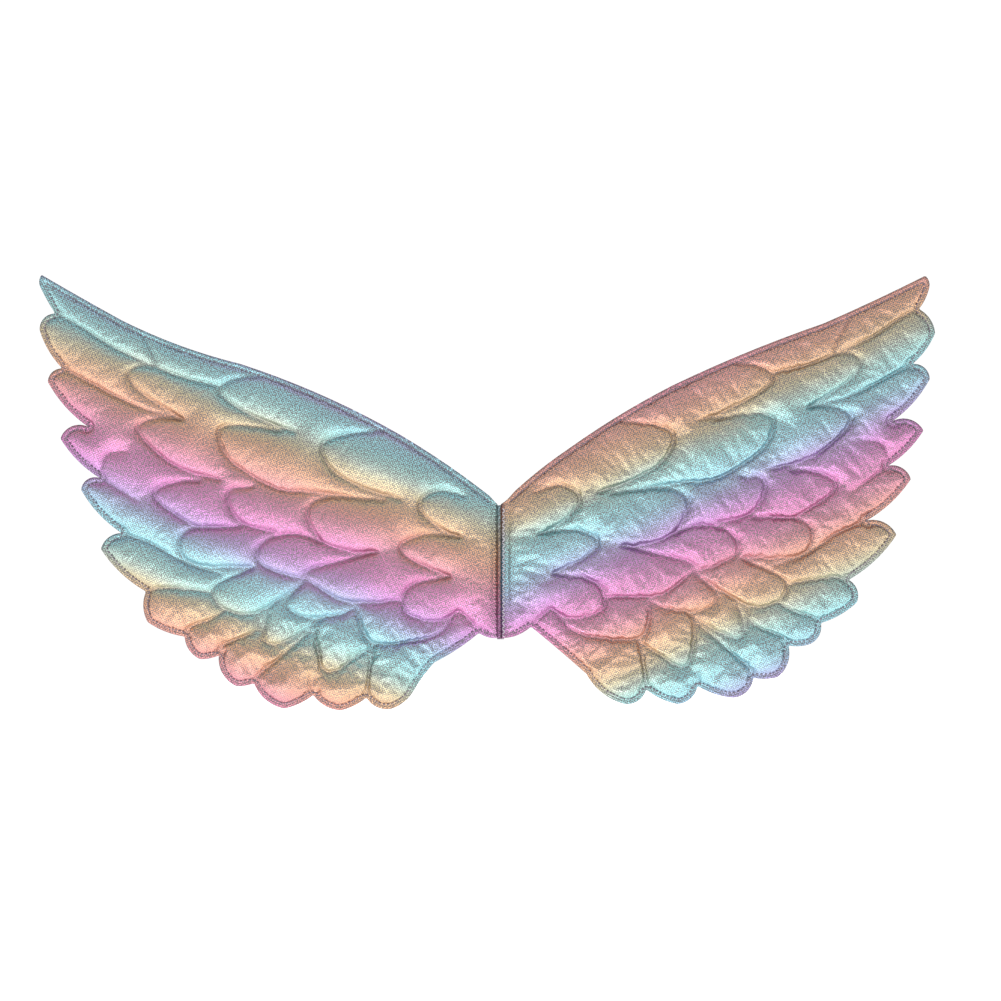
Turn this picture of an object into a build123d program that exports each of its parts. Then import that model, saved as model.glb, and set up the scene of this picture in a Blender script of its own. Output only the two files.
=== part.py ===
from build123d import *
import math
import os

# Padded costume wings: two quilted wing panels sewn to a short centre seam, with two
# elastic shoulder loops on the back. Millimetres. X runs across the wings, Z is up and
# +Y points to the wearer. "Depth" below is the distance in front of the seam tape's
# outer back face, so a point at depth d lies at y = -d.

# Layer thicknesses
TAPE = 0.8
STRAP_THICK = 1.0
BACKING = 0.5
FOAM_FLAT = 0.9          # foam crushed flat by the edge stitching
FACE_SKIN = 0.6
THREAD = 0.4
PUFF_STEPS = [(4.0, 2.0), (8.0, 3.2)]    # (inset from the edge, extra foam height there)

# Centre seam
SEAM_TOP = 37.0
SEAM_BOTTOM = -37.5
SEAM_HALF = 2.0          # half the width of the seam allowance between the two wings
WELT_LEFT = -2.0         # the welt lies a little left of the middle, beside its stitching
WELT_RIGHT = 0.8
WELT_RISE = 1.9
WELT_ROUND = 1.2
CORE_PROUD = 0.4         # the seam allowance stands this far in front of the wings' edges
TAPE_HALF = 3.0
TAPE_TOP = 35.0
TAPE_BOTTOM = -34.0

# Wing fold lines: vertical axes in the crushed inner edge of each wing
FOLD_X = 3.3
WING_BACK = 2.6          # depth of a wing's back face
EDGE_THICK = BACKING + FOAM_FLAT + FACE_SKIN

# Stitching
STITCH_INSET = 2.3
STITCH_WIDTH = 0.8
SEAM_ROW_X = 1.45        # the row beside the centre welt, on the seam allowance
SEAM_ROW = (-36.5, 36.5)
TAPE_ROW_X = 2.2
TAPE_THREAD = 0.3        # pulled down flush with the tape's back face

# Shoulder loops
STRAP_WIDTH = 10.0
STRAP_Z = 26.0           # height of the sewn ends above and below the seam's middle
STRAP_SWING_X = 4.0      # vertical swing axis beside the tape
STRAP_SWING_Y = -(TAPE + STRAP_THICK / 2)
STRAP_REST = 35.0        # degrees from the wing's plane, at rest
STRAP_START = 0.4       # the loop starts this far from its swing axis
TWIST_SHARE = 0.16       # share of the loop's length in which the flat band turns on edge
STRAP_STATIONS = 36
# route of a loop in its own vertical plane: (distance from the swing axis, height)
STRAP_ROUTE = [(STRAP_START, STRAP_Z), (14, 26.5), (40, 27), (70, 20), (92, 2), (99, -22),
               (90, -45), (70, -56), (46, -46), (26, -30), (12, -25.8), (STRAP_START, -STRAP_Z)]

# Wing outlines, as (distance out from the centre, height). Each lobe is a valley, a point
# on its round cap and its nose. A flank then runs from the nose to the next valley.
LEFT_TOP = [(FOLD_X, 40), (22.5, 54.5), (55.5, 76), (100, 98.5), (144.5, 115.5),
            (177.5, 125.5), (211, 140), (236, 154), (255, 165)]
LEFT_TIP = [(255, 165), (256.3, 161.5), (255.6, 158), (252, 151), (247.5, 143.5)]
LEFT_LOBES = [
    [(247.5, 143.5), (253, 141.5), (256, 134)],
    [(243.5, 113), (249, 111), (251.5, 105.5)],
    [(229, 80.5), (239, 80.5), (244.5, 74)],
    [(222.5, 52), (230, 51), (233, 45.5)],
    [(210.5, 21.5), (218.5, 18.5), (222, 12.5)],
    [(197, -11), (198.5, -19), (196, -28)],
    [(175.5, -36), (173, -43.5), (167, -48.5)],
    [(156.5, -46.5), (154.5, -56.5), (147, -63.5)],
    [(137, -62), (130, -71.5), (120, -76)],
    [(104, -68.5), (97.5, -74.5), (88.5, -77)],
    [(74.5, -70), (68, -75.5), (60, -76)],
]
LEFT_TAIL = [(60, -76), (52.5, -71.5), (47.5, -65), (43, -58), (37, -50.5), (24, -43), (12, -34)]

RIGHT_TOP = [(FOLD_X, 40.5), (18.5, 54), (38, 68.5), (58, 82), (95.5, 103.5), (142, 124),
             (179.5, 138), (212.5, 153), (236, 164.5)]
RIGHT_TIP = [(236, 164.5), (238.2, 161), (238, 157), (236, 151.5), (232.5, 146)]
RIGHT_LOBES = [
    [(232.5, 146), (239, 140), (241.5, 132.5)],
    [(229, 115.5), (236, 113), (238.5, 107)],
    [(217.5, 83.5), (228, 84.5), (235, 78.5)],
    [(215.5, 59), (223.5, 57.5), (228, 51.5)],
    [(203.5, 28.5), (214, 27), (220, 20.5)],
    [(193.5, -4.5), (198, -9.5), (198, -17)],
    [(178, -28.5), (177, -35.5), (171, -40.5)],
    [(160, -41), (159.5, -51), (154, -58.5)],
    [(140.5, -59), (137, -66.5), (129.5, -70)],
    [(109.5, -63.5), (105, -71), (98, -73.5)],
    [(81, -65.5), (76, -72), (69, -73.5)],
]
RIGHT_TAIL = [(69, -73.5), (58, -68.5), (47.5, -56.5), (32, -43), (17, -30.5)]
# the scalloped corner beside the seam, from the last valley in to the fold line
LEFT_FOOT = [(12, -34), (8, -36), (FOLD_X, -37)]
RIGHT_FOOT = [(17, -30.5), (10, -35), (FOLD_X, -37)]


def wing_outline(top, tip, lobes, tail, foot):
    """One wing's flat outline, drawn to the right, with outward distance as local X."""
    edges = arcs_through(top) + arcs_through(tip)
    for number, (valley, cap, nose) in enumerate(lobes):
        edges.append(ThreePointArc(valley, cap, nose))
        if number + 1 < len(lobes):
            edges.append(flank(nose, lobes[number + 1][0]))
    edges += arcs_through(tail) + arcs_through(foot) + [Line(foot[-1], top[0])]
    return make_face(edges)


def arcs_through(points):
    """Gentle arcs, each through three of an odd number of points."""
    return [ThreePointArc(*points[i:i + 3]) for i in range(0, len(points) - 2, 2)]


def flank(nose, valley):
    """The gently bowed side of a lobe, from its nose to the next valley."""
    start = Vector(*nose)
    run = Vector(*valley) - start
    bow = Vector(run.Y, -run.X) * -0.06
    middle = start + run * 0.5 + bow
    return ThreePointArc(nose, (middle.X, middle.Y), valley)


def slab(face, depth, thickness):
    """A flat layer of the given outline, from a depth forward."""
    return extrude(Plane.XZ.offset(depth) * face, thickness)


def stack(outline, depth, flat, shrink):
    """A flat margin with the stepped puff on it, its steps moved out by shrink."""
    solid = slab(outline, depth, flat)
    top = depth + flat
    for inset, rise in PUFF_STEPS:
        step = offset(outline, -(inset - shrink), kind=Kind.ARC)
        solid += slab(step, top, rise)
        top += rise
    return solid


def wing_panel(outline):
    """The four layers of a wing: backing, foam, face fabric and edge stitching."""
    backing = slab(outline, WING_BACK, BACKING)
    foam_depth = WING_BACK + BACKING
    foam = stack(outline, foam_depth, FOAM_FLAT, 0)
    cover = stack(outline, foam_depth + FACE_SKIN, FOAM_FLAT, FACE_SKIN)
    face = cover - foam - slab(outline, foam_depth, FOAM_FLAT)
    ring = (offset(outline, -STITCH_INSET, kind=Kind.ARC)
            - offset(outline, -(STITCH_INSET + STITCH_WIDTH), kind=Kind.ARC))
    inner_run = Location((FOLD_X, 0)) * Rectangle(4 * STITCH_INSET, 60)
    ring -= inner_run
    front = slab(ring, WING_BACK + EDGE_THICK, THREAD)
    back = slab(ring, WING_BACK - THREAD, THREAD)
    return {"backing": backing, "foam": foam, "face_fabric": face,
            "edge_stitch": group(front, back)}


def group(*shapes):
    """Separate solids that share one node."""
    return Compound([solid for shape in shapes for solid in shape.solids()])


def block(x_low, x_high, z_low, z_high, depth, thickness):
    """A plain strip of cloth, ribbon or thread."""
    middle = Location(((x_low + x_high) / 2, (z_low + z_high) / 2))
    return slab(middle * Rectangle(x_high - x_low, z_high - z_low), depth, thickness)


def seam_pieces():
    """The pieces that hold the wings and the straps together."""
    core_depth = TAPE + STRAP_THICK
    core_front = WING_BACK + EDGE_THICK + CORE_PROUD
    half_strap = STRAP_WIDTH / 2
    core = block(-SEAM_HALF, SEAM_HALF, SEAM_BOTTOM, SEAM_TOP, core_depth,
                 core_front - core_depth)
    welt = block(WELT_LEFT, WELT_RIGHT, SEAM_BOTTOM, SEAM_TOP, core_front, WELT_RISE)
    crest = welt.faces().sort_by(Axis.Y)[0]
    welt = fillet(crest.edges().filter_by(Axis.Z), WELT_ROUND)
    beside = block(SEAM_ROW_X - STITCH_WIDTH / 2, SEAM_ROW_X + STITCH_WIDTH / 2, *SEAM_ROW,
                   core_front, THREAD)
    rows = [block(x - STITCH_WIDTH / 2, x + STITCH_WIDTH / 2, TAPE_BOTTOM + 1, TAPE_TOP - 1,
                  0, TAPE_THREAD) for x in (-TAPE_ROW_X, TAPE_ROW_X)]
    tape = block(-TAPE_HALF, TAPE_HALF, TAPE_BOTTOM, TAPE_TOP, 0, TAPE) - rows
    ends = [block(-TAPE_HALF, TAPE_HALF, z - half_strap, z + half_strap, TAPE, STRAP_THICK)
            for z in (STRAP_Z, -STRAP_Z)]
    filler = block(-SEAM_HALF, SEAM_HALF, half_strap - STRAP_Z, STRAP_Z - half_strap,
                   TAPE, STRAP_THICK)
    return {"seam_allowance": core, "centre_welt": welt, "centre_stitch": beside,
            "seam_tape": tape,
            "tape_stitch": group(*rows), "strap_ends": group(*ends), "seam_filler": filler}


def strap_loop():
    """A flat elastic loop to the right: it leaves the seam with its width upright, turns
    on edge, runs round, and turns back before it returns to the seam."""
    path = Spline(STRAP_ROUTE, tangents=[(1, 0), (-1, 0)])
    angle = math.radians(STRAP_REST)
    out = Vector(math.cos(angle), math.sin(angle), 0)
    across = Vector(-math.sin(angle), math.cos(angle), 0)
    axis_foot = Vector(STRAP_SWING_X, STRAP_SWING_Y, 0)
    sections = []
    for station in range(STRAP_STATIONS + 1):
        share = station / STRAP_STATIONS
        point = path @ share
        slope = path % share
        along = out * slope.X + Vector(0, 0, 1) * slope.Y
        upright = along.cross(across)
        nearest_end = min(share, 1 - share)
        turned = min(1, nearest_end / TWIST_SHARE)
        turned = turned * turned * (3 - 2 * turned) * math.pi / 2
        wide = upright * math.cos(turned) + across * math.sin(turned)
        place = Plane(axis_foot + out * point.X + Vector(0, 0, point.Y), x_dir=wide, z_dir=along)
        sections.append(place * Rectangle(STRAP_WIDTH, STRAP_THICK))
    print("strap loop length", round(path.length, 1))
    return loft(sections, ruled=True)


os.makedirs("parts", exist_ok=True)
left = wing_outline(LEFT_TOP, LEFT_TIP, LEFT_LOBES, LEFT_TAIL, LEFT_FOOT)
right = wing_outline(RIGHT_TOP, RIGHT_TIP, RIGHT_LOBES, RIGHT_TAIL, RIGHT_FOOT)
for name, shape in wing_panel(right).items():
    export_step(shape, f"parts/{name}_right.step")
for name, shape in wing_panel(left).items():
    export_step(mirror(shape, about=Plane.YZ), f"parts/{name}_left.step")
for name, shape in seam_pieces().items():
    export_step(shape, f"parts/{name}.step")
strap = strap_loop()
export_step(strap, "parts/strap_right.step")
export_step(mirror(strap, about=Plane.YZ), "parts/strap_left.step")
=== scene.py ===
"""Padded costume wings with an iridescent foil face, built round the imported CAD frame."""
import math

import bpy
import numpy as np
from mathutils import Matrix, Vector, geometry, kdtree


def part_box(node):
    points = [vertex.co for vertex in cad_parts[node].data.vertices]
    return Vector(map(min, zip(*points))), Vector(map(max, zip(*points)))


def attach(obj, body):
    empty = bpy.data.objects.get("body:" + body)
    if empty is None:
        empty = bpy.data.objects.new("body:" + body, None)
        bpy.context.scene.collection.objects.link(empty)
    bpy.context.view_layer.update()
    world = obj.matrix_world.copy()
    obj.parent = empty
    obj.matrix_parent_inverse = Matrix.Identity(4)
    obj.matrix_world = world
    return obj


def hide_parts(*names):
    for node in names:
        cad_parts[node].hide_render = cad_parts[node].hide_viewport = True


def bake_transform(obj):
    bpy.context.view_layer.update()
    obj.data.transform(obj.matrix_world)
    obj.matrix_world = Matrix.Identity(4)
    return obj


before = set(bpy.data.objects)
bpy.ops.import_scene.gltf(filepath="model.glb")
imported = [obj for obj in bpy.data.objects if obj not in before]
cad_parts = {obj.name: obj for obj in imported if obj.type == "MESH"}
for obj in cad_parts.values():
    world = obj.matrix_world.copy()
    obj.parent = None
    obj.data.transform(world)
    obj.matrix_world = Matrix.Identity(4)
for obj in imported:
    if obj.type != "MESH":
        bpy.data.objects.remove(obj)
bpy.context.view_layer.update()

MM = 0.001
SIDES = {"left": -1, "right": 1}

# ---- layers, in mm in front of the seam tape's outer back face (a depth d lies at y = -d)
WING_BACK = -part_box("backing_left")[1].y / MM
LINING = 0.5
FOAM_FLAT = 0.9
SKIN = 0.6
FOAM_GAP = 0.1           # the foam core's least thickness, and its clearance at the rim
MARGIN_FRONT = WING_BACK + LINING + FOAM_FLAT + SKIN
# The quilting shows on the back too: (where it begins, over how far it grows, its height
# on the lining, its height on the foam core)
BACK_QUILT = (9, 40, 1.5, 0.8)
# The skins run in under the welt: (how far from the middle they end, the depth of their
# front there, the width of the strip that is drawn in)
SEAM_EDGE = {"left": (1.7, 5.3, 3.0), "right": (0.2, 5.65, 5.0)}
SEAM_TOP = 37.6          # and drop to this height there, in the notch between the wings
SEAM_FOOT = -37.2
FOLD_X = 3.3             # how far out a wing's own outline begins

# ---- the folded welt on the centre seam
WELT_MIDDLE = -0.75
WELT_HALF = 1.2
WELT_FOOT_DEPTH = 4.5
WELT_PROUD = 2.2
WELT_SHADE = 0.7

# ---- stitching
SEAM_ROW = (1.6, 5.35)   # the zigzag beside the welt: distance out and depth
SEAM_SWING = 0.85        # how far it swings either way
SEAM_STEP = 1.6
SEAM_ENDS = (-36.5, 37)
SEAM_THREAD = 0.3        # radius
STITCH_INSET = 2.7
STITCH_PITCH = 2.5
STITCH_LENGTH = 1.7
THREAD_RADIUS = 0.32
THREAD_LIFT = 0.08       # how far the edge row stands off the settled cloth

# ---- the face cloth is cut a little too large, and the slack settles as puckers
SLACK = {"left": (0.006, 0.045), "right": (0.024, 0.04)}
SLACK_BELOW = (-18, -40)    # heights where the lower feathers' slack begins and is full
PUSH = 0.3               # the foam's push on the cloth
CLOTH_SCALE = 20.0       # the cloth settles at twenty times life, where the solver is steady
CLOTH_FRAMES = 22
CLOTH_REACH = 2.2        # no point moves further than this, in mm
CLOTH_START = 0.05       # unevenness at the start

# ---- quilted relief
PUFF = 3.3               # height of a wide feather's crown above its grooves
SHOULDER = 15.0          # how slowly the foam rises beside a groove
# How the pressed margin runs beside the centre seam, as (how fast the distance from the
# edge counts up, its start): the left wing swells right up to the welt, the right one
# keeps a flat channel under its row of stitching.
SEAM_MARGIN = {"left": (2.4, 1.0), "right": (1.0, 0.8)}
FLOOR_RISE = 1.5         # grooves away from the edge are pressed less deep than the margin
FLOOR_REACH = 14.0       # the distance over which that sets in
FADE_RISE = 12.0         # how far a line's floor has risen where it has faded out
MEMBRANE_START = 20.0
MEMBRANE_STEPS = 2000
PUFF_GAIN = 1.38
PUFF_BLUR = 0.45
# The margin's rolled edge and the dip under its stitching: (height, distance in from the
# edge, width)
EDGE_ROLL = (0.45, 1.3, 0.8)
EDGE_DIP = (-0.45, STITCH_INSET, 0.55)
OUTLINE_SPACING = 0.6
RASTER = 0.6
GRID = 1.15              # spacing of the face mesh
CORE_GRID = 2.6          # spacing of the foam core's mesh
RIM_SPACING = 1.2        # widest spacing of outline points

# ---- painted shade on the foil, each as (strength, reach): in the pressed grooves, on the
# margin, and in the channel beside the welt
GROOVE_SHADE = (0.45, 0.9)
MARGIN_SHADE = (0.5, 2.4)
CHANNEL_SHADE = (1.3, 1.6)

# Embossed feather lines of the left wing, (distance out from the centre, height) in mm.
# "E" starts at the wing's edge, in the nearest notch between two lobes; "F" fades out.
FEATHERS = [
    ("E", [(246.5, 144), (233, 136.5), (222, 129), (211, 122.5), (198, 116.5), (191, 113)]),
    ("", [(199.5, 131.5), (193, 120.5), (191, 113)]),
    ("", [(191, 113), (174, 107), (156.5, 103)]),
    ("", [(133.5, 108), (142.5, 107.5), (150, 106), (156, 102.5), (155.5, 98.5), (147, 91.5),
          (130, 83.5), (114, 77.5)]),
    ("", [(65.5, 78), (85, 76), (97.5, 72.5), (99.5, 67.5), (93, 56), (78, 47.5), (55.5, 40)]),
    ("", [(19.5, 41.5), (33.5, 45), (44, 40.5), (44.5, 33.5), (35, 25), (21.5, 19)]),
    ("", [(191, 113), (200, 114), (206.5, 111.5), (206.5, 107.5), (198.5, 98.5), (175.5, 84.5)]),
    ("E", [(242.5, 112.5), (229, 105.5), (201.5, 91.5), (175.5, 84.5)]),
    ("", [(122, 77.5), (139, 80.5), (154, 80.5), (157, 76.5), (151.5, 63.5), (139, 54),
          (122, 45.5), (100, 44), (64, 39)]),
    ("", [(177.5, 84.5), (188.5, 85), (201, 81.5), (200.5, 76), (187, 63), (174, 56), (155.5, 51)]),
    ("", [(72.5, 40), (94.5, 41), (106, 37), (106.5, 28.5), (98.5, 16.5), (83.5, 11.5), (68, 11)]),
    ("EF", [(227, 80), (220, 75), (206.5, 67)]),
    ("EF", [(221, 51.5), (213.5, 47), (201, 39.5)]),
    ("", [(166.5, 50), (177.5, 50), (191.5, 45.5), (190.5, 39), (177.5, 30), (165, 24.5),
          (144.5, 25.5)]),
    ("", [(137, 47), (149, 46), (152, 41), (147, 30.5), (139, 25), (125, 22.5)]),
    ("E", [(210, 21.5), (192.5, 15), (174, 4), (155.5, -1.5)]),
    ("", [(144.5, 24.5), (166.5, 24.5), (177.5, 20), (177, 9.5), (165, 3.5), (137, 3)]),
    ("", [(100, 16), (111, 20.5), (125, 19.5), (134.5, 13.5), (134, 5), (122, -1), (108.5, -4)]),
    ("", [(68, 11), (89, 5.5), (109, -0.5), (100, -9.5), (85, -16.5), (55.5, -16.5)]),
    ("", [(21.5, 19), (40.5, 20.5), (54, 16.5), (55, 10.5), (44.5, 4), (28, -2)]),
    ("", [(28, -3), (48.5, -7), (54, -14), (51.5, -24), (33.5, -27), (23.5, -21)]),
    ("", [(137, 2), (157, -7), (160, -13.5), (151.5, -21.5), (135, -22.5), (108.5, -5)]),
    ("", [(108.5, -6), (119, -17.5), (109.5, -25), (89, -24), (80.5, -19.5)]),
    ("", [(80.5, -19.5), (76, -33.5), (70, -39.5), (52, -39), (33.5, -34), (23.5, -21)]),
    ("E", [(196, -11), (187, -9), (172, -10), (160, -12)]),
    ("E", [(175.5, -36), (172.5, -30.5), (162, -27), (153.5, -22)]),
    ("E", [(156, -46.5), (154, -40.5), (137, -33.5), (134.5, -24)]),
    ("E", [(137, -62), (134.5, -57), (122, -47.5), (104, -32)]),
    ("", [(129, -22.5), (131, -32), (130, -40), (120.5, -39), (100, -27)]),
    ("", [(104, -27.5), (101.5, -41.5), (98.5, -54.5), (91.5, -55), (82.5, -49), (69.5, -40.5)]),
    ("EF", [(103.5, -66.5), (104.5, -61.5), (99, -55.5)]),
    ("E", [(74.5, -68.5), (73, -56), (70, -40.5)]),
    ("E", [(12, -33.5), (18, -25.5), (23.5, -21)]),
]

# The right panel was sewn a little higher and narrower than the left one: how wide and
# tall it is beside the left one, how it rises outward, and how that rise falls off
RIGHT_WIDTH = 0.968
RIGHT_HEIGHT = 1.0235
RIGHT_RISE = 0.0639
RIGHT_DROOP = 0.000214
# Its lower feathers also stand further out: by how much, from what height down, over what
# height that grows, and how far out it is full
RIGHT_SPREAD = (9.0, 20.0, 70.0, 20.0)

# ---- camera, light and floor, in metres
VIEW_WIDTH = 0.5549      # what the camera sees at the wings' front
VIEW_HEIGHT = 0.0396     # the middle of the view
VIEW_FRONT = 0.008
DAYLIGHT = (-0.15, -0.75, -0.65)
DAYLIGHT_STRENGTH = 0.64
DAYLIGHT_FOCUS = 9.0
SKY_DARK = 0.89          # the sky away from the daylight
SKY_SEEN = 1.05          # the sky as the camera sees it
# (name, place, size, watts)
LAMPS = [
    ("key", (-0.5, -1.6, -1.35), (1.3, 0.9), 10),
    ("back_fill", (-0.6, 1.5, 0.9), (1.4, 1.4), 7),
]
LAMP_TARGET = (0, 0, 0.03)
FLOOR_SIZE = 20.0
FLOOR_HEIGHT = -1.3

# Foil colours along one cycle of the bands, sRGB 0-255: teal edge, gold, orange, rose,
# magenta, violet, blue, and back to teal.
FOIL = [
    (0.00, (192, 210, 194)), (0.05, (212, 202, 164)), (0.11, (230, 190, 146)),
    (0.18, (238, 178, 140)), (0.26, (238, 164, 150)), (0.34, (232, 150, 168)),
    (0.43, (230, 140, 190)), (0.53, (226, 140, 202)), (0.61, (208, 148, 214)),
    (0.68, (190, 168, 222)), (0.74, (174, 198, 232)), (0.80, (164, 220, 234)),
    (0.88, (162, 224, 230)), (0.95, (172, 220, 214)), (1.00, (192, 210, 194)),
]
# Slopes that face up show the colour this much earlier in the cycle
HUE_SHIFT = {"left": 0.1, "right": 0.05}
FOIL_WEAVE = (1.5, 0.35)    # pitch in mm and angle
FOIL_VEIL = (0.19, 0.18, 0.185)
# Painted shade: the colour the foil is multiplied by in grooves, margin, channel and welt
PAINTED_SHADE_COLOUR = (0.38, 0.33, 0.4)
LINING_COLOUR = (0.46, 0.4, 0.45)
LINING_PITCH = 0.7
THREAD_COLOUR = (0.26, 0.2, 0.27)
PALE_THREAD_COLOUR = (0.74, 0.7, 0.76)
ELASTIC_COLOUR = (0.6, 0.58, 0.6)
TAPE_COLOUR = (0.5, 0.45, 0.5)

# The cloth is cut in opposite directions for the two wings, so the colours run the other
# way on the right one: (the bands' slope, the height where a cycle starts, its length)
BANDS = {"left": (0.4545, 25.8, -115.0), "right": (0.5, 16.0, 114.0)}


def band_phase(side, out, up):
    """Where a point lies in the foil's colour cycle."""
    slope, start, cycle = BANDS[side]
    return (up - slope * out - start) / cycle


def lie(side, out, up):
    """Where a point of the feather pattern lies on each wing."""
    if side == "left":
        return out, up
    most, start, over, full = RIGHT_SPREAD
    drop = np.clip((start - up) / over, 0.0, 1.0)
    spread = most * drop * drop * (3 - 2 * drop) * np.clip(out / full, 0.0, 1.0)
    return (RIGHT_WIDTH * out + spread,
            RIGHT_HEIGHT * up + RIGHT_RISE * out - RIGHT_DROOP * out * out)


# ---------------------------------------------------------------- camera, lights, stage

def look_at(obj, target):
    direction = Vector(target) - obj.location
    obj.rotation_euler = direction.to_track_quat("-Z", "Y").to_euler()


def add_camera():
    """Square on to the wings, about 1.5 m in front of them."""
    data = bpy.data.cameras.new("camera")
    data.lens = 100
    data.sensor_width = 36
    camera = bpy.data.objects.new("camera", data)
    bpy.context.scene.collection.objects.link(camera)
    back = VIEW_WIDTH * data.lens / data.sensor_width + VIEW_FRONT
    camera.location = (0, -back, VIEW_HEIGHT)
    look_at(camera, (0, 0, VIEW_HEIGHT))
    data.clip_end = 30
    bpy.context.scene.camera = camera


def area_light(name, place, size, power):
    data = bpy.data.lights.new(name, "AREA")
    data.shape = "RECTANGLE"
    data.size, data.size_y = size
    data.energy = power
    lamp = bpy.data.objects.new(name, data)
    bpy.context.scene.collection.objects.link(lamp)
    lamp.location = place
    look_at(lamp, LAMP_TARGET)


def add_world():
    """Soft daylight from the lower left front, falling off to the upper right; the camera
    itself sees plain white."""
    world = bpy.data.worlds.new("studio")
    bpy.context.scene.world = world
    world.use_nodes = True
    tree = world.node_tree
    background = tree.nodes["Background"]

    def math_node(operation, a, b=None):
        node = tree.nodes.new("ShaderNodeMath")
        node.operation = operation
        for socket, value in zip(node.inputs, (a, b)):
            if isinstance(value, (int, float)):
                socket.default_value = value
            elif value is not None:
                tree.links.new(value, socket)
        return node.outputs[0]

    toward = tree.nodes.new("ShaderNodeVectorMath")
    toward.operation = "DOT_PRODUCT"
    tree.links.new(tree.nodes.new("ShaderNodeTexCoord").outputs["Generated"], toward.inputs[0])
    toward.inputs[1].default_value = Vector(DAYLIGHT).normalized()
    facing = math_node("MAXIMUM", math_node("ADD", toward.outputs["Value"], 0.1), 0.0)
    focus = math_node("POWER", math_node("DIVIDE", facing, 1.1), DAYLIGHT_FOCUS)
    glow = math_node("MULTIPLY", focus, DAYLIGHT_STRENGTH)
    strength = math_node("ADD", glow, SKY_DARK)
    seen = tree.nodes.new("ShaderNodeLightPath").outputs["Is Camera Ray"]
    tree.links.new(math_node("MAXIMUM", strength, math_node("MULTIPLY", seen, SKY_SEEN)),
                   background.inputs["Strength"])
    background.inputs["Color"].default_value = (1, 1, 1, 1)


def add_stage():
    """A pale floor, far below."""
    corners = [(x * FLOOR_SIZE, y * FLOOR_SIZE, FLOOR_HEIGHT)
               for x, y in ((-1, -1), (1, -1), (1, 1), (-1, 1))]
    floor = mesh_object("stage_floor", corners, [(0, 1, 2, 3)], smooth=False)
    material = bpy.data.materials.new("stage_paper")
    material.use_nodes = True
    shader = material.node_tree.nodes["Principled BSDF"]
    shader.inputs["Base Color"].default_value = (0.9, 0.9, 0.9, 1)
    shader.inputs["Roughness"].default_value = 1.0
    shader.inputs["Emission Color"].default_value = (1, 1, 1, 1)
    shader.inputs["Emission Strength"].default_value = 0.8
    floor.data.materials.append(material)


# ---------------------------------------------------------------- mesh helpers

def mesh_object(name, verts, faces, smooth=True):
    """A new mesh object in the scene, from points in metres."""
    mesh = bpy.data.meshes.new(name)
    mesh.from_pydata([tuple(v) for v in verts], [], [tuple(int(i) for i in f) for f in faces])
    mesh.validate()
    mesh.update()
    if smooth:
        mesh.shade_smooth()
    obj = bpy.data.objects.new(name, mesh)
    bpy.context.scene.collection.objects.link(obj)
    return obj


def store(obj, name, values):
    """A float for each vertex, for the material to read."""
    layer = obj.data.attributes.new(name, "FLOAT", "POINT")
    layer.data.foreach_set("value", np.asarray(values, np.float32))


def smooth_line(points, spacing):
    """A rounded line through a few points, as points at an even spacing."""
    p = np.array(points, float)
    if len(p) > 2:
        ends = np.vstack([2 * p[0] - p[1], p, 2 * p[-1] - p[-2]])
        fine = []
        for i in range(1, len(ends) - 2):
            a, b, c, d = ends[i - 1:i + 3]
            t = np.linspace(0, 1, 12, endpoint=False)[:, None]
            fine.append(0.5 * (2 * b + (c - a) * t + (2 * a - 5 * b + 4 * c - d) * t ** 2
                               + (3 * b - a - 3 * c + d) * t ** 3))
        p = np.vstack(fine + [p[-1:]])
    return resample(p, spacing)


def rounded(line, passes):
    """The line with its corners eased."""
    for _ in range(passes):
        line[1:-1] = 0.25 * line[:-2] + 0.5 * line[1:-1] + 0.25 * line[2:]
    return line


def resample(points, spacing, closed=False):
    """The same line or loop with its points evenly spaced."""
    p = np.vstack([points, points[:1]]) if closed else points
    steps = np.linalg.norm(np.diff(p, axis=0), axis=1)
    run = np.concatenate([[0], np.cumsum(steps)])
    count = max(2, int(round(run[-1] / spacing)) + 1)
    marks = np.linspace(0, run[-1], count)
    even = np.stack([np.interp(marks, run, p[:, k]) for k in range(p.shape[1])], 1)
    return even[:-1] if closed else even


def tree_of(points):
    """A search tree over flat points."""
    tree = kdtree.KDTree(len(points))
    for i, (a, b) in enumerate(points):
        tree.insert((a, b, 0), i)
    tree.balance()
    return tree


def distances(tree, points):
    """How far each point is from the tree's nearest."""
    return np.array([tree.find((a, b, 0))[2] for a, b in points])


def cad_outline(side):
    """The wing's flat outline, read from the backing's back face: (out, up) in mm."""
    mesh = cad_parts[f"backing_{side}"].data
    co = np.array([v.co for v in mesh.vertices]) / MM
    top = co[:, 1].max() - 0.01
    count = {}
    for poly in mesh.polygons:
        ids = list(poly.vertices)
        if all(co[i, 1] > top for i in ids):
            for a, b in zip(ids, ids[1:] + ids[:1]):
                key = tuple(np.round(co[a, [0, 2]], 3)), tuple(np.round(co[b, [0, 2]], 3))
                count[key] = count.get(key, 0) + 1
    after = {a: b for a, b in count if (b, a) not in count}
    start = next(iter(after))
    loop = [start]
    while after[loop[-1]] != start:
        loop.append(after[loop[-1]])
    loop = np.array(loop) * (SIDES[side], 1)
    area = np.sum(loop[:, 0] * np.roll(loop[:, 1], -1) - np.roll(loop[:, 0], -1) * loop[:, 1])
    return loop if area > 0 else loop[::-1]


def inside(points, loop):
    """Which points lie inside the closed loop."""
    hit = np.zeros(len(points), bool)
    for (x0, y0), (x1, y1) in zip(loop, np.roll(loop, -1, axis=0)):
        crosses = (y0 > points[:, 1]) != (y1 > points[:, 1])
        if crosses.any() and y0 != y1:
            hit ^= crosses & (points[:, 0] < (x1 - x0) * (points[:, 1] - y0) / (y1 - y0) + x0)
    return hit


# ---------------------------------------------------------------- the quilted relief

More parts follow.
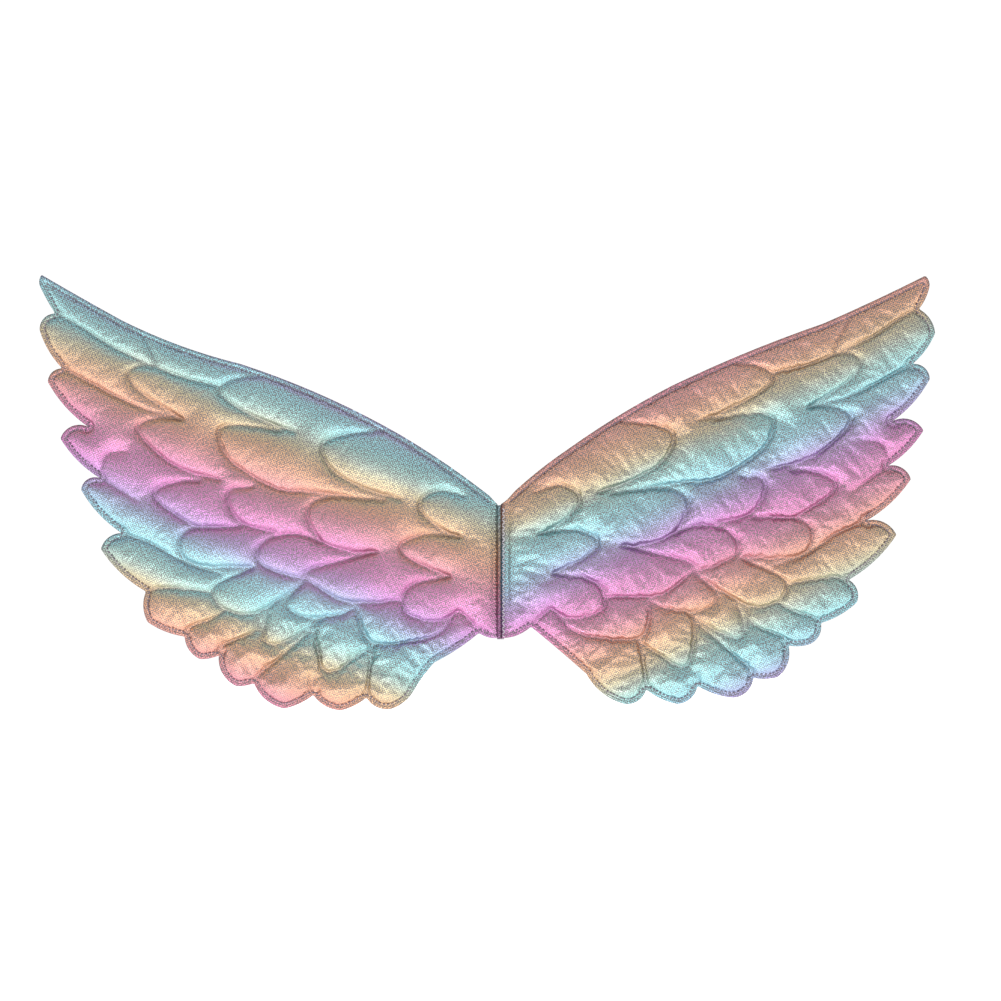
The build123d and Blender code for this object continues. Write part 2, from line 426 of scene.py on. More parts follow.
class Relief:
    """The height of a wing's face over its flat pattern, on an even raster in mm."""

    def __init__(self, side):
        self.side = side
        self.loop = resample(cad_outline(side), OUTLINE_SPACING, closed=True)
        self.edge_tree = tree_of(self.loop)
        outer = tree_of(self.loop[self.loop[:, 0] > FOLD_X + 0.05])
        self.low = self.loop.min(0) - 3
        size = np.ceil((self.loop.max(0) + 3 - self.low) / RASTER).astype(int)
        steps = [self.low[axis] + RASTER * np.arange(size[axis]) for axis in (0, 1)]
        grid = np.stack(np.meshgrid(*steps, indexing="ij"), -1)
        flat = grid.reshape(-1, 2)
        self.inside = inside(flat, self.loop).reshape(size)
        reach, start = SEAM_MARGIN[side]
        inner = (flat[:, 0] - FOLD_X) * reach + start
        self.rim = distances(outer, flat).reshape(size)
        self.edge = np.minimum(self.rim, inner.reshape(size))
        self.edge[~self.inside] = 0
        self.lines = self.feather_lines()
        self.solve()

    def notch(self, point):
        """The notch of the outline nearest to a point."""
        before = np.roll(self.loop, 4, axis=0)
        after = np.roll(self.loop, -4, axis=0)
        a, b = self.loop - before, after - self.loop
        turn = a[:, 0] * b[:, 1] - a[:, 1] * b[:, 0]
        sharp = turn < -1.5
        score = np.linalg.norm(self.loop - point, axis=1) + np.where(sharp, 0, 100)
        score += turn * 0.3
        return self.loop[np.argmin(score)]

    def feather_lines(self):
        """The embossed lines on this wing, each with how deep it is pressed, 1 to 0."""
        lines = []
        for kind, points in FEATHERS:
            p = np.array([lie(self.side, a, b) for a, b in points])
            if "E" in kind:
                shift = self.notch(p[0]) - p[0]
                fall = np.linspace(1, 0, len(p))[:, None] ** 1.5
                p = p + shift * fall
            line = rounded(smooth_line(p, 0.5), 10)
            depth = np.ones(len(line))
            if "F" in kind:
                depth = np.linspace(1, 0.25, len(line))
            lines.append((line, depth))
        self.line_tree = tree_of(np.vstack([line[depth > 0.5] for line, depth in lines]))
        return lines

    def solve(self):
        """Blows the foam up like a membrane held down along the feather lines."""
        held = self.edge < STITCH_INSET + 0.3
        floor_height = np.zeros(self.edge.shape)
        for line, depth in self.lines:
            cells = np.round((line - self.low) / RASTER).astype(int)
            i, k = np.clip(cells, 0, np.array(self.edge.shape) - 1).T
            held[i, k] = True
            floor_height[i, k] = np.maximum(floor_height[i, k], (1 - depth) * FADE_RISE)
        swell = np.where(held, floor_height, MEMBRANE_START)
        for _ in range(MEMBRANE_STEPS):
            spread = 0.25 * (np.roll(swell, 1, 0) + np.roll(swell, -1, 0)
                             + np.roll(swell, 1, 1) + np.roll(swell, -1, 1))
            swell = np.where(held, floor_height, spread + 0.25 * RASTER ** 2)
        rise = PUFF_GAIN * swell / (swell + SHOULDER)
        self.puff = blur(np.where(self.inside, rise, 0), PUFF_BLUR / RASTER)
        away = np.clip(self.edge - STITCH_INSET, 0, None)
        floor = FLOOR_RISE * (1 - np.exp(-away / FLOOR_REACH))
        roll, dip = (height * np.exp(-((self.rim - place) / width) ** 2)
                     for height, place, width in (EDGE_ROLL, EDGE_DIP))
        self.depth = MARGIN_FRONT + floor + PUFF * self.puff + roll + dip
        self.held = held
        reach = range(-5, 6)
        self.hollow = np.minimum.reduce([np.roll(self.depth, (a, b), (0, 1))
                                         for a in reach for b in reach])

    def at(self, field, points):
        """The field at any points, between the raster's own."""
        u = np.clip((points - self.low) / RASTER, 0, np.array(field.shape) - 1.001)
        i = u.astype(int)
        f = u - i
        a, b = i[:, 0], i[:, 1]
        fa, fb = f[:, 0], f[:, 1]
        return (field[a, b] * (1 - fa) * (1 - fb) + field[a + 1, b] * fa * (1 - fb)
                + field[a, b + 1] * (1 - fa) * fb + field[a + 1, b + 1] * fa * fb)


def blur(field, sigma):
    """The raster smoothed, by sigma cells."""
    reach = int(math.ceil(3 * sigma))
    weights = np.exp(-0.5 * (np.arange(-reach, reach + 1) / sigma) ** 2)
    weights /= weights.sum()
    for axis in (0, 1):
        field = sum(w * np.roll(field, s, axis) for w, s in zip(weights, range(-reach, reach + 1)))
    return field


def flat_mesh(relief, spacing):
    """An even triangle mesh over the wing's outline: points (out, up) in mm, triangles
    and the number of outline points, which come first."""
    rim = resample(relief.loop, min(spacing, RIM_SPACING), closed=True)
    low, high = rim.min(0), rim.max(0)
    row_height = spacing * math.sqrt(3) / 2
    points = []
    for row in range(int((high[1] - low[1]) / row_height) + 1):
        up = low[1] + row * row_height
        out = np.arange(low[0] + (row % 2) * spacing / 2, high[0], spacing)
        points.append(np.stack([out, np.full(len(out), up)], 1))
    points = np.vstack(points)
    keep = inside(points, rim) & (relief.at(relief.edge, points) > spacing * 0.55)
    points = np.vstack([rim, points[keep]])
    edges = [(i, (i + 1) % len(rim)) for i in range(len(rim))]
    result = geometry.delaunay_2d_cdt([Vector(p) for p in points], edges, [], 0, 1e-6)
    verts = np.array([tuple(v) for v in result[0]])
    tris = np.array([f for f in result[2] if len(f) == 3])
    centres = verts[tris].mean(1)
    tris = tris[inside(centres, rim)]
    a, b, c = (verts[tris[:, k]] for k in range(3))
    clockwise = (b[:, 0] - a[:, 0]) * (c[:, 1] - a[:, 1]) < (b[:, 1] - a[:, 1]) * (c[:, 0] - a[:, 0])
    tris[clockwise] = tris[clockwise][:, ::-1]
    return verts, tris, len(rim)


def pucker(relief, flat, tris):
    """Lets the face cloth settle over the foam, held along its edge and the embossed
    lines and pushed from below. Gives its points as (out, depth, up) in mm."""
    depth = relief.at(relief.depth, flat)
    start = np.stack([flat[:, 0], -depth, flat[:, 1]], 1)
    held = relief.at(relief.held.astype(float), flat) > 0.33
    noise = np.random.default_rng(5).random(len(flat)) * CLOTH_START
    start[:, 1] -= np.where(held, 0, noise)
    cloth = mesh_object("face_settling", start * MM * CLOTH_SCALE, tris)
    pins = cloth.vertex_groups.new(name="held")
    pins.add([int(i) for i in np.nonzero(held)[0]], 1.0, "REPLACE")
    first, full = SLACK_BELOW
    taut = cloth.vertex_groups.new(name="taut")
    for i, weight in enumerate(np.clip((flat[:, 1] - full) / (first - full), 0, 1)):
        taut.add([i], float(weight), "REPLACE")
    modifier = cloth.modifiers.new("settle", "CLOTH")
    cloth_settings(modifier, SLACK[relief.side])
    for step in range(1, CLOTH_FRAMES + 1):
        bpy.context.scene.frame_set(step)
    settled = cloth.evaluated_get(bpy.context.evaluated_depsgraph_get()).to_mesh()
    moved = np.array([v.co for v in settled.vertices]) / (MM * CLOTH_SCALE)
    bpy.data.objects.remove(cloth)
    bpy.context.scene.frame_set(1)
    return (start + np.clip(moved - start, -CLOTH_REACH, CLOTH_REACH)) * (1, -1, 1)


def cloth_settings(modifier, slack):
    """Slack is the cloth's extra length: over most of the wing, and low down."""
    settings = modifier.settings
    settings.quality = 5
    settings.mass = 0.3
    settings.tension_stiffness = settings.compression_stiffness = 20
    settings.shear_stiffness = 5
    settings.bending_stiffness = 0.03
    settings.tension_damping = settings.compression_damping = settings.shear_damping = 5
    settings.air_damping = 2
    settings.vertex_group_mass = "held"
    settings.shrink_min, settings.shrink_max = -slack[1], -slack[0]
    settings.vertex_group_shrink = "taut"
    settings.use_pressure = True
    settings.uniform_pressure_force = PUSH
    settings.effector_weights.gravity = 0
    modifier.collision_settings.use_collision = False
    modifier.point_cache.frame_start, modifier.point_cache.frame_end = 1, CLOTH_FRAMES


def under_welt(side, out, up):
    """Draws a skin's inner strip in under the welt: its new place, and how far along
    the draw each point is, from 0 to 1."""
    edge, _, width = SEAM_EDGE[side]
    share = np.clip(1 - (out - FOLD_X) / width, 0, 1) ** 2
    return (out - share * (FOLD_X - edge),
            up + share * (np.clip(up, SEAM_FOOT, SEAM_TOP) - up), share)


def layer_object(name, relief, flat, tris, front, back, place=None):
    """A closed sheet between two depths, each an array in mm over the flat points. The
    face gives its points' settled place, and also climbs over the seam allowance."""
    side = relief.side
    sign = SIDES[side]
    out, up, share = under_welt(side, *(flat.T if place is None else place))
    if place is not None:
        climb = SEAM_EDGE[side][1]
        front = front + share * (climb - front)
        back = back + share * (climb - SKIN - back)
    verts = np.vstack([np.stack([sign * out, -front, up], 1),
                       np.stack([sign * out, -back, up], 1)]) * MM
    count = len(flat)
    top = tris if sign > 0 else tris[:, ::-1]
    bottom = top[:, ::-1] + count
    walked = {(int(t[k]), int(t[k - 2])) for t in top for k in range(3)}
    walls = [(b, a, a + count, b + count) for a, b in sorted(walked) if (b, a) not in walked]
    obj = mesh_object(name, verts, list(top) + list(bottom) + walls)
    facing_up = np.array([v.normal.z for v in obj.data.vertices])
    shift = HUE_SHIFT[side] * np.clip((facing_up - 0.12) / 0.5, 0, 1)
    store(obj, "band", np.tile(band_phase(side, flat[:, 0], flat[:, 1]), 2) - shift)
    store(obj, "cloth_u", np.tile(out, 2))
    store(obj, "cloth_v", np.tile(up, 2))
    # Painted highlight: slopes that face down, toward the daylight, get less of the foil's dark veil
    store(obj, "painted_highlight", np.clip((-facing_up - 0.02) / 0.4, 0, 1))
    return obj


# ---------------------------------------------------------------- materials

class Nodes:
    """A short way to write a material's node tree."""

    def __init__(self, name):
        self.material = bpy.data.materials.new(name)
        self.material.use_nodes = True
        self.tree = self.material.node_tree
        self.shader = self.tree.nodes["Principled BSDF"]

    def add(self, kind, **settings):
        node = self.tree.nodes.new(kind)
        for key, value in settings.items():
            setattr(node, key, value)
        return node

    def link(self, source, target):
        if isinstance(source, (int, float)):
            target.default_value = source
        else:
            self.tree.links.new(source, target)

    def math(self, operation, a, b=0.0, c=0.0, clamp=False):
        node = self.add("ShaderNodeMath", operation=operation, use_clamp=clamp)
        for socket, value in zip(node.inputs, (a, b, c)):
            self.link(value, socket)
        return node.outputs[0]

    def attribute(self, name):
        return self.add("ShaderNodeAttribute", attribute_name=name).outputs["Fac"]

    def mix(self, factor, a, b, blend_type="MIX"):
        node = self.add("ShaderNodeMix", data_type="RGBA", blend_type=blend_type)
        self.link(factor, node.inputs[0])
        for socket, value in ((node.inputs[6], a), (node.inputs[7], b)):
            if isinstance(value, tuple):
                socket.default_value = (*value, 1)
            else:
                self.tree.links.new(value, socket)
        return node.outputs[2]

    def noise(self, vector, scale, detail=2.0):
        node = self.add("ShaderNodeTexNoise")
        self.tree.links.new(vector, node.inputs["Vector"])
        node.inputs["Scale"].default_value = scale
        node.inputs["Detail"].default_value = detail
        return node.outputs["Fac"]

    def bump(self, height, strength, distance):
        node = self.add("ShaderNodeBump")
        node.inputs["Strength"].default_value = strength
        node.inputs["Distance"].default_value = distance
        self.tree.links.new(height, node.inputs["Height"])
        return node.outputs[0]

    def set(self, **values):
        for name, value in values.items():
            self.shader.inputs[name.replace("_", " ")].default_value = value


def linear(colour):
    """sRGB 0-255 to linear."""
    scaled = [c / 255 for c in colour]
    return tuple(c / 12.92 if c <= 0.04045 else ((c + 0.055) / 1.055) ** 2.4 for c in scaled)


def cloth_vector(nodes):
    """The flat cloth coordinates in mm, as a vector."""
    combine = nodes.add("ShaderNodeCombineXYZ")
    nodes.link(nodes.attribute("cloth_u"), combine.inputs[0])
    nodes.link(nodes.attribute("cloth_v"), combine.inputs[1])
    return combine.outputs[0]


def weave(nodes, pitch, turn):
    """The over-and-under of a plain weave, 0 to 1, from the flat cloth coordinates."""
    u, v = nodes.attribute("cloth_u"), nodes.attribute("cloth_v")
    c, s = math.cos(turn) * 2 * math.pi / pitch, math.sin(turn) * 2 * math.pi / pitch
    warp = nodes.math("ADD", nodes.math("MULTIPLY", u, c), nodes.math("MULTIPLY", v, s))
    weft = nodes.math("SUBTRACT", nodes.math("MULTIPLY", v, c), nodes.math("MULTIPLY", u, s))
    product = nodes.math("MULTIPLY", nodes.math("SINE", warp), nodes.math("SINE", weft))
    return nodes.math("MULTIPLY_ADD", product, 0.5, 0.5)


def foil_material():
    """Woven cloth with a foil coat whose colour shifts in broad bands. A dark veil of
    specks shows between the threads; on slopes that face down it is thinned as a painted
    highlight. Grooves, margin, channel and welt get painted shade."""
    n = Nodes("iridescent_foil_cloth")
    vector = cloth_vector(n)
    wander = n.math("MULTIPLY_ADD", n.noise(vector, 0.018), 0.10, -0.05)
    phase = n.math("FRACT", n.math("ADD", n.attribute("band"), wander))
    ramp = n.add("ShaderNodeValToRGB")
    stops = ramp.color_ramp.elements
    stops[0].position, stops[0].color = FOIL[0][0], (*linear(FOIL[0][1]), 1)
    stops[1].position, stops[1].color = FOIL[-1][0], (*linear(FOIL[-1][1]), 1)
    for place, colour in FOIL[1:-1]:
        stop = stops.new(place)
        stop.color = (*linear(colour), 1)
    n.tree.links.new(phase, ramp.inputs["Fac"])
    threads = weave(n, *FOIL_WEAVE)
    grain = n.noise(vector, 1.2, 2.0)
    speck = n.math("ADD", n.math("MULTIPLY", threads, 1.5),
                   n.math("MULTIPLY_ADD", grain, 4.6, -2.45), clamp=True)
    # Painted highlight: the veil thins on slopes that face down, where the light falls
    share = n.math("MULTIPLY_ADD", n.attribute("painted_highlight"), -0.4, 1.0)
    veil = n.math("MULTIPLY", speck, share, clamp=True)
    colour = n.mix(veil, ramp.outputs["Color"], FOIL_VEIL)
    # Painted shade: the foil is darkened in the grooves, on the margin, in the channel and on the
    # welt
    pressed = n.mix(n.attribute("painted_shade"), colour, PAINTED_SHADE_COLOUR, "MULTIPLY")
    n.tree.links.new(pressed, n.shader.inputs["Base Color"])
    n.tree.links.new(n.math("MULTIPLY_ADD", veil, 0.25, 0.25), n.shader.inputs["Roughness"])
    n.set(Metallic=0.85)
    height = n.math("ADD", threads, grain)
    n.tree.links.new(n.bump(height, 0.5, 0.00018), n.shader.inputs["Normal"])
    return n.material


def plain_cloth(name, colour, pitch):
    """Matt woven lining."""
    n = Nodes(name)
    vector = cloth_vector(n)
    threads = weave(n, pitch, 0.0)
    grain = n.noise(vector, 0.35, 4.0)
    shade = n.math("MULTIPLY", threads, 0.22)
    tone = n.mix(shade, colour, tuple(c * 0.55 for c in colour))
    worn = n.mix(n.math("MULTIPLY", grain, 0.18), tone, tuple(c * 0.7 for c in colour))
    n.tree.links.new(worn, n.shader.inputs["Base Color"])
    n.set(Roughness=0.9, Sheen_Weight=0.2)
    n.tree.links.new(n.bump(threads, 0.5, 0.0002), n.shader.inputs["Normal"])
    return n.material


def thread_material(name, colour):
    """Spun thread."""
    n = Nodes(name)
    coords = n.add("ShaderNodeTexCoord").outputs["Object"]
    grain = n.noise(coords, 1400, 2.0)
    tone = n.mix(grain, colour, tuple(c * 0.5 for c in colour))
    n.tree.links.new(tone, n.shader.inputs["Base Color"])
    n.set(Roughness=0.55, Sheen_Weight=0.3)
    n.tree.links.new(n.bump(grain, 0.6, 0.0001), n.shader.inputs["Normal"])
    return n.material


def foam_material():
    """Pale open-celled foam."""
    n = Nodes("sponge_foam")
    coords = n.add("ShaderNodeTexCoord").outputs["Object"]
    cells = n.add("ShaderNodeTexVoronoi")
    n.tree.links.new(coords, cells.inputs["Vector"])
    cells.inputs["Scale"].default_value = 1600
    tone = n.mix(cells.outputs["Distance"], (0.62, 0.6, 0.58), (0.9, 0.89, 0.87))
    n.tree.links.new(tone, n.shader.inputs["Base Color"])
    n.set(Roughness=0.95)
    n.tree.links.new(n.bump(cells.outputs["Distance"], 0.6, 0.0003), n.shader.inputs["Normal"])
    return n.material


# ---------------------------------------------------------------- the wings

def build_wing(side, relief, materials):
    """One wing: quilted face, lining, foam core and edge stitching."""
    flat, tris, rim = flat_mesh(relief, GRID)
    out, depth, up = pucker(relief, flat, tris).T
    layers = [
        build_face(side, relief, (flat, tris, rim), (out, depth, up), materials["foil"]),
        build_lining(side, relief, flat, tris, materials["lining"]),
        build_core(side, relief, materials["foam"]),
    ]
    for piece in layers:
        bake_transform(piece)
    stitch_edge(side, relief, flat, depth, materials)


def build_face(side, relief, pattern, settled, foil):
    """The foil cloth, where it settled over the foam."""
    flat, tris, rim = pattern
    out, depth, up = settled
    under = depth - SKIN
    under[:rim] = WING_BACK + LINING
    face = layer_object(f"quilted_face_{side}", relief, flat, tris, depth, under, (out, up))
    # Painted shade along the grooves, in the right wing's channel beside the welt and on the margin
    strength, reach = GROOVE_SHADE
    groove = strength * np.exp(-(distances(relief.line_tree, flat) / reach) ** 2)
    strength, reach = CHANNEL_SHADE
    channel = strength * np.clip(1 - (out - FOLD_X) / reach, 0, 1) * (side == "right")
    strength, reach = MARGIN_SHADE
    margin = strength * np.clip(1 - relief.at(relief.edge, flat) / reach, 0, 1)
    margin *= flat[:, 0] > FOLD_X + 2
    store(face, "painted_shade", np.tile(np.max([groove, channel, margin], axis=0), 2))
    face.data.materials.append(foil)
    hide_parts(f"face_fabric_{side}")
    return face


def back_quilt(relief, flat):
    """How much the quilting shows at the back, which is flat beside the seam."""
    start, reach = BACK_QUILT[:2]
    return relief.at(relief.puff, flat) * np.clip((flat[:, 0] - start) / reach, 0, 1)


def build_lining(side, relief, flat, tris, cloth):
    """The lining, stretched over the back of the foam."""
    back = WING_BACK - BACK_QUILT[2] * back_quilt(relief, flat)
    lining = layer_object(f"lining_{side}", relief, flat, tris, back + LINING, back)
    lining.data.materials.append(cloth)
    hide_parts(f"backing_{side}")
    return lining


def build_core(side, relief, sponge):
    """The foam, everywhere clear of the face cloth's grooves and of the lining."""
    flat, tris, rim = flat_mesh(relief, CORE_GRID)
    inner = WING_BACK + LINING
    bottom = inner + 0.5 * FOAM_GAP - BACK_QUILT[3] * back_quilt(relief, flat)
    top = np.maximum(relief.at(relief.hollow, flat) - 2 * SKIN, inner + FOAM_GAP)
    top[:rim] = inner + FOAM_GAP
    foam = layer_object(f"foam_core_{side}", relief, flat, tris, top, bottom)
    foam.data.materials.append(sponge)
    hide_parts(f"foam_{side}")
    return foam


def stitch_path(relief):
    """The line of the edge stitching: the outline moved in, without its inner run."""
    loop = resample(relief.loop, 0.8, closed=True)
    ahead = np.roll(loop, -2, axis=0) - np.roll(loop, 2, axis=0)
    normal = np.stack([-ahead[:, 1], ahead[:, 0]], 1)
    normal /= np.linalg.norm(normal, axis=1)[:, None]
    moved = loop + normal * STITCH_INSET
    gap = distances(relief.edge_tree, moved)
    inner = loop[:, 0] <= FOLD_X + 0.3
    good = (gap > STITCH_INSET - 0.25) & ~inner
    start = int(np.argmax(inner & ~np.roll(inner, -1)))
    order = (np.arange(len(loop)) + start + 1) % len(loop)
    return rounded(moved[order][good[order]], 3)


def stitches(name, path, normal_sign, pitch=STITCH_PITCH, length=STITCH_LENGTH,
             thick=THREAD_RADIUS):
    """A row of thread stitches along 3-D points in mm. Each is a small bowed capsule whose
    ends dive into the cloth; normal_sign is the side of the cloth along Y. Without a pitch
    each step of the path is one stitch, as long as the step."""
    even = path if pitch is None else resample(path, pitch)
    rings, sides = 6, 6
    verts, faces = [], []
    up = np.array([0, normal_sign, 0.0])
    for a, b in zip(even[:-1], even[1:]):
        along = b - a
        reach = np.linalg.norm(along)
        if pitch is None:
            length = reach
        elif reach < 0.5 * pitch or reach > 1.6 * pitch:
            continue
        along = along / reach
        middle = (a + b) / 2
        across = np.cross(along, up)
        across /= np.linalg.norm(across)
        lift = np.cross(across, along)
        first = len(verts)
        for ring in range(rings):
            t = ring / (rings - 1) * 2 - 1
            radius = thick * math.sqrt(max(0.12, 1 - t ** 4))
            sink = 0.4 * abs(t) ** 2.5
            centre = middle + along * (t * length / 2) + lift * (0.1 - sink)
            for k in range(sides):
                angle = 2 * math.pi * k / sides
                verts.append(centre + radius * (across * math.cos(angle) + lift * math.sin(angle)))
        for ring in range(rings - 1):
            for k in range(sides):
                m = (k + 1) % sides
                p, q = first + ring * sides, first + (ring + 1) * sides
                faces.append((p + k, p + m, q + m, q + k))
        faces.append(tuple(first + k for k in reversed(range(sides))))
        faces.append(tuple(first + (rings - 1) * sides + k for k in range(sides)))
    return mesh_object(name, np.array(verts) * MM, faces)


def join(name, objects):
    """Several fresh objects as one."""
    verts, faces, offset = [], [], 0
    for obj in objects:
        verts += [tuple(v.co) for v in obj.data.vertices]
        faces += [tuple(i + offset for i in p.vertices) for p in obj.data.polygons]
        offset = len(verts)
        bpy.data.objects.remove(obj)
    return mesh_object(name, verts, faces)


def stitch_edge(side, relief, flat, depth, materials):
    """Thread through the wing's edge: one row on the settled face cloth, one on the lining."""
    path = stitch_path(relief)
    out, up, _ = under_welt(side, *path.T)
    out = out * SIDES[side]
    tree = tree_of(flat)
    near = [tree.find_n((*p, 0), 3) for p in path]
    front = np.array([max(depth[hit[1]] for hit in hits) for hits in near]) + THREAD_LIFT
    back = np.full(len(path), WING_BACK)
    rows = [stitches("row_front", np.stack([out, -front, up], 1), -1),
            stitches("row_back", np.stack([out, -back, up], 1), 1)]
    thread = join(f"edge_thread_{side}", rows)
    thread.data.materials.append(materials["thread"])
    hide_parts(f"edge_stitch_{side}")
    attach(thread, f"wing_{side}")


# ---------------------------------------------------------------- the centre seam

def build_seam(materials):
    """The folded welt, pinched a little along its length, and the zigzag thread beside it."""
    build_welt(materials["foil"])
    build_seam_thread(materials["pale_thread"])


def build_welt(foil):
    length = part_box("centre_welt")[1].z / MM - SEAM_FOOT
    rows, around = 90, 14
    verts, faces, bands = [], [], []
    for row in range(rows + 1):
        up = SEAM_FOOT + length * row / rows
        pinch = 0.12 * math.sin(2 * math.pi * up / 5.1) + 0.08 * math.sin(2 * math.pi * up / 13)
        for k in range(around):
            angle = math.pi * k / (around - 1)
            out = WELT_MIDDLE + WELT_HALF * math.cos(angle) * (1 + 0.1 * pinch)
            proud = (WELT_PROUD + pinch) * max(0.0, math.sin(angle)) ** 0.75
            verts.append((out * MM, -(WELT_FOOT_DEPTH + proud) * MM, up * MM))
            bands.append(band_phase("left" if out < 0 else "right", abs(out), up))
    for row in range(rows):
        for k in range(around - 1):
            a = row * around + k
            faces.append((a, a + 1, a + around + 1, a + around))
        faces.append((row * around + around - 1, row * around, (row + 1) * around,
                      (row + 1) * around + around - 1))
    faces.append(tuple(reversed(range(around))))
    faces.append(tuple(rows * around + k for k in range(around)))
    welt = mesh_object("folded_welt", verts, [f[::-1] for f in faces])
    store(welt, "band", bands)
    store(welt, "cloth_u", [v[0] / MM for v in verts])
    store(welt, "cloth_v", [v[2] / MM for v in verts])
    # Painted shade over the whole welt
    store(welt, "painted_shade", [WELT_SHADE] * len(verts))
    store(welt, "painted_highlight", [0.0] * len(verts))
    welt.data.materials.append(foil)
    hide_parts("centre_welt")
    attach(welt, "spine")


def build_seam_thread(thread):
    ups = np.arange(*SEAM_ENDS, SEAM_STEP)
    swing = SEAM_SWING * (1 - 2 * (np.arange(len(ups)) % 2))
    path = np.stack([SEAM_ROW[0] + swing, np.full(len(ups), -SEAM_ROW[1]), ups], 1)
    row = stitches("seam_thread", path, -1, pitch=None, thick=SEAM_THREAD)
    row.data.materials.append(thread)
    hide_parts("centre_stitch")
    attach(row, "spine")


# ---------------------------------------------------------------- the shoulder straps

# A strap's middle line as (distance from the seam, height) in mm, in a plane that leans
# back from the wing by STRAP_REST about the upright line at STRAP_AXIS
STRAP_ROUTE = [(0.4, 26), (14, 26.5), (40, 27), (70, 20), (92, 2), (99, -22),
               (90, -45), (70, -56), (46, -46), (26, -30), (12, -25.8), (0.4, -26)]
STRAP_REST = math.radians(35)
STRAP_WIDTH = 10.0
STRAP_LENGTH = 252       # of free elastic
STRAP_AXIS = (4.0, -1.3)
TWIST_SHARE = 0.16       # the share of its length over which it turns on edge


def build_strap(side, materials):
    """A flat ribbed elastic loop that leaves the tape upright and turns on edge."""
    sign = SIDES[side]
    stations, ribs = 180, 8
    line = smooth_line(STRAP_ROUTE, 0.5)
    line = resample(line, sum(np.linalg.norm(np.diff(line, axis=0), axis=1)) / stations)
    out = np.array([math.cos(STRAP_REST), math.sin(STRAP_REST), 0])
    across = np.array([-math.sin(STRAP_REST), math.cos(STRAP_REST), 0])
    foot = np.array([STRAP_AXIS[0], STRAP_AXIS[1], 0])
    section = strap_section(ribs)
    verts, faces, us, vs = [], [], [], []
    for i, point in enumerate(line):
        share = i / (len(line) - 1)
        ahead = line[min(i + 1, len(line) - 1)] - line[max(i - 1, 0)]
        ahead = ahead / np.linalg.norm(ahead)
        along = out * ahead[0] + np.array([0, 0, ahead[1]])
        upright = np.cross(along, across)
        turned = min(1, min(share, 1 - share) / TWIST_SHARE)
        turned = turned * turned * (3 - 2 * turned) * math.pi / 2
        wide = upright * math.cos(turned) + across * math.sin(turned)
        thick = np.cross(wide, along)
        place = foot + out * point[0] + np.array([0, 0, point[1]])
        for w, t in section:
            spot = place + wide * w + thick * t
            verts.append((sign * spot[0] * MM, spot[1] * MM, spot[2] * MM))
            us.append(w)
            vs.append(share * STRAP_LENGTH)
    count = len(section)
    for i in range(len(line) - 1):
        for k in range(count):
            m = (k + 1) % count
            faces.append((i * count + k, i * count + m, (i + 1) * count + m, (i + 1) * count + k))
    faces.append(tuple(reversed(range(count))))
    faces.append(tuple((len(line) - 1) * count + k for k in range(count)))
    if sign > 0:
        faces = [f[::-1] for f in faces]
    strap = mesh_object(f"elastic_loop_{side}", verts, faces)
    store(strap, "cloth_u", us)
    store(strap, "cloth_v", vs)
    strap.data.materials.append(materials["elastic"])
    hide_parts(f"strap_{side}")
    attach(strap, f"strap_{side}")


def strap_section(ribs):
    """The band's cross-section in mm: flat, with lengthwise ribs on both faces."""
    steps = ribs * 4
    half, thick = STRAP_WIDTH / 2, 0.5
    top = []
    for k in range(steps + 1):
        w = -half + STRAP_WIDTH * k / steps
        edge = min(1, (half - abs(w)) / 0.4)
        rib = 0.12 * math.cos(2 * math.pi * ribs * (w + half) / STRAP_WIDTH)
        top.append((w, (thick - 0.12 - rib) * (0.55 + 0.45 * edge)))
    return top + [(w, -t) for w, t in reversed(top)]


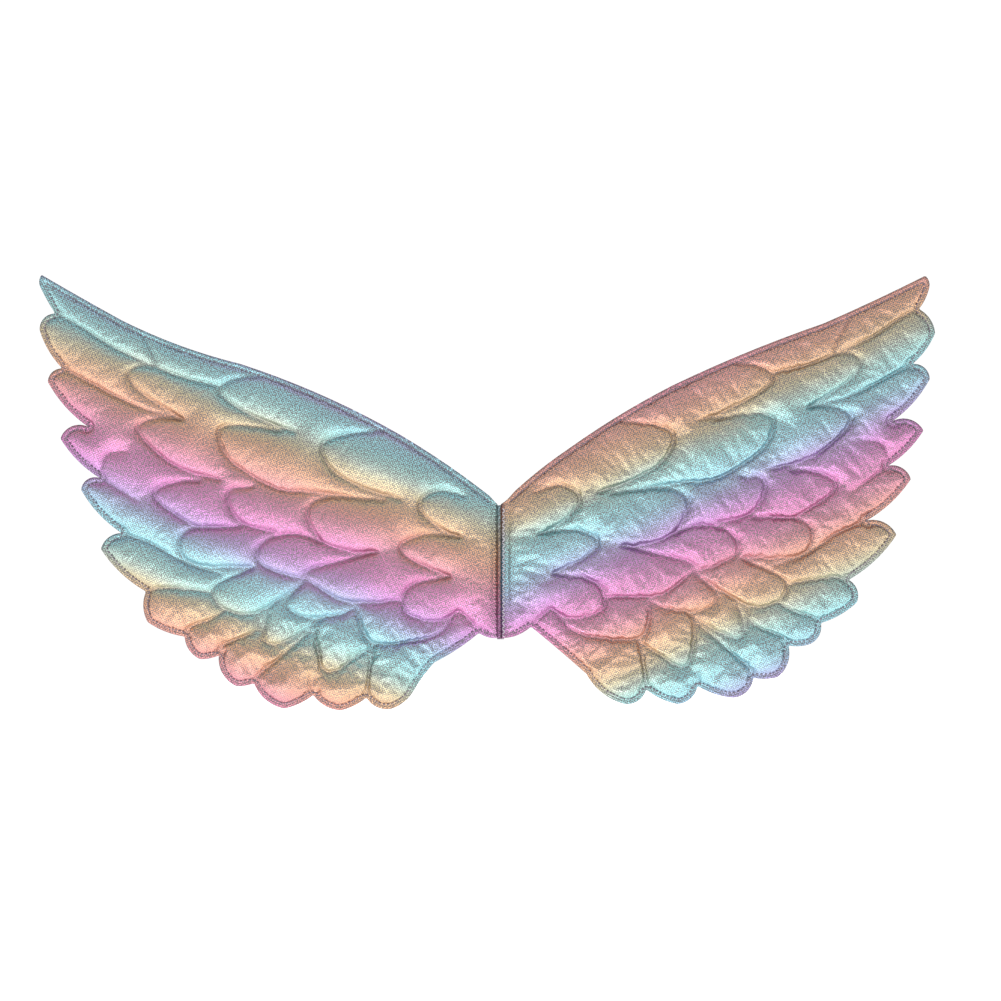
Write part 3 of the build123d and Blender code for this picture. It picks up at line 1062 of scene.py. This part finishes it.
def elastic_material():
    """Pale elastic, ribbed lengthwise, with fine cross picks."""
    n = Nodes("ribbed_elastic")
    u, v = n.attribute("cloth_u"), n.attribute("cloth_v")
    rib = n.math("SINE", n.math("MULTIPLY", u, 2 * math.pi * 0.8))
    pick = n.math("SINE", n.math("ADD", n.math("MULTIPLY", v, 2 * math.pi / 0.9),
                                 n.math("MULTIPLY", rib, 1.2)))
    shade = n.math("MULTIPLY_ADD", pick, 0.12, 0.15)
    tone = n.mix(shade, ELASTIC_COLOUR, tuple(c * 0.45 for c in ELASTIC_COLOUR))
    n.tree.links.new(tone, n.shader.inputs["Base Color"])
    n.set(Roughness=0.75, Sheen_Weight=0.25)
    n.tree.links.new(n.bump(pick, 0.5, 0.0002), n.shader.inputs["Normal"])
    return n.material


def tape_material():
    """Grosgrain ribbon, ribbed across its length."""
    n = Nodes("grosgrain_tape")
    coords = n.add("ShaderNodeTexCoord").outputs["Object"]
    parts = n.add("ShaderNodeSeparateXYZ")
    n.tree.links.new(coords, parts.inputs[0])
    rib = n.math("SINE", n.math("MULTIPLY", parts.outputs["Z"], 2 * math.pi / (0.8 * MM)))
    shade = n.math("MULTIPLY_ADD", rib, 0.15, 0.2)
    tone = n.mix(shade, TAPE_COLOUR, tuple(c * 0.5 for c in TAPE_COLOUR))
    n.tree.links.new(tone, n.shader.inputs["Base Color"])
    n.set(Roughness=0.7, Sheen_Weight=0.2)
    n.tree.links.new(n.bump(rib, 0.8, 0.0002), n.shader.inputs["Normal"])
    return n.material


def finish_cad_nodes(materials):
    """The small sewn pieces whose CAD shape is right get their real cloth."""
    for node, key in (("seam_tape", "tape"), ("strap_ends", "tape"), ("seam_filler", "tape"),
                      ("seam_allowance", "tape"), ("tape_stitch", "thread")):
        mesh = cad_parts[node].data
        mesh.materials.clear()
        mesh.materials.append(materials[key])


def build_materials():
    return {
        "foil": foil_material(),
        "lining": plain_cloth("lining_cloth", LINING_COLOUR, LINING_PITCH),
        "thread": thread_material("spun_thread", THREAD_COLOUR),
        "pale_thread": thread_material("pale_thread", PALE_THREAD_COLOUR),
        "foam": foam_material(),
        "elastic": elastic_material(),
        "tape": tape_material(),
    }


def main():
    add_camera()
    add_world()
    add_stage()
    for lamp in LAMPS:
        area_light(*lamp)
    materials = build_materials()
    for side in SIDES:
        build_wing(side, Relief(side), materials)
        build_strap(side, materials)
    build_seam(materials)
    finish_cad_nodes(materials)
    bpy.context.scene.view_settings.view_transform = "Standard"


main()
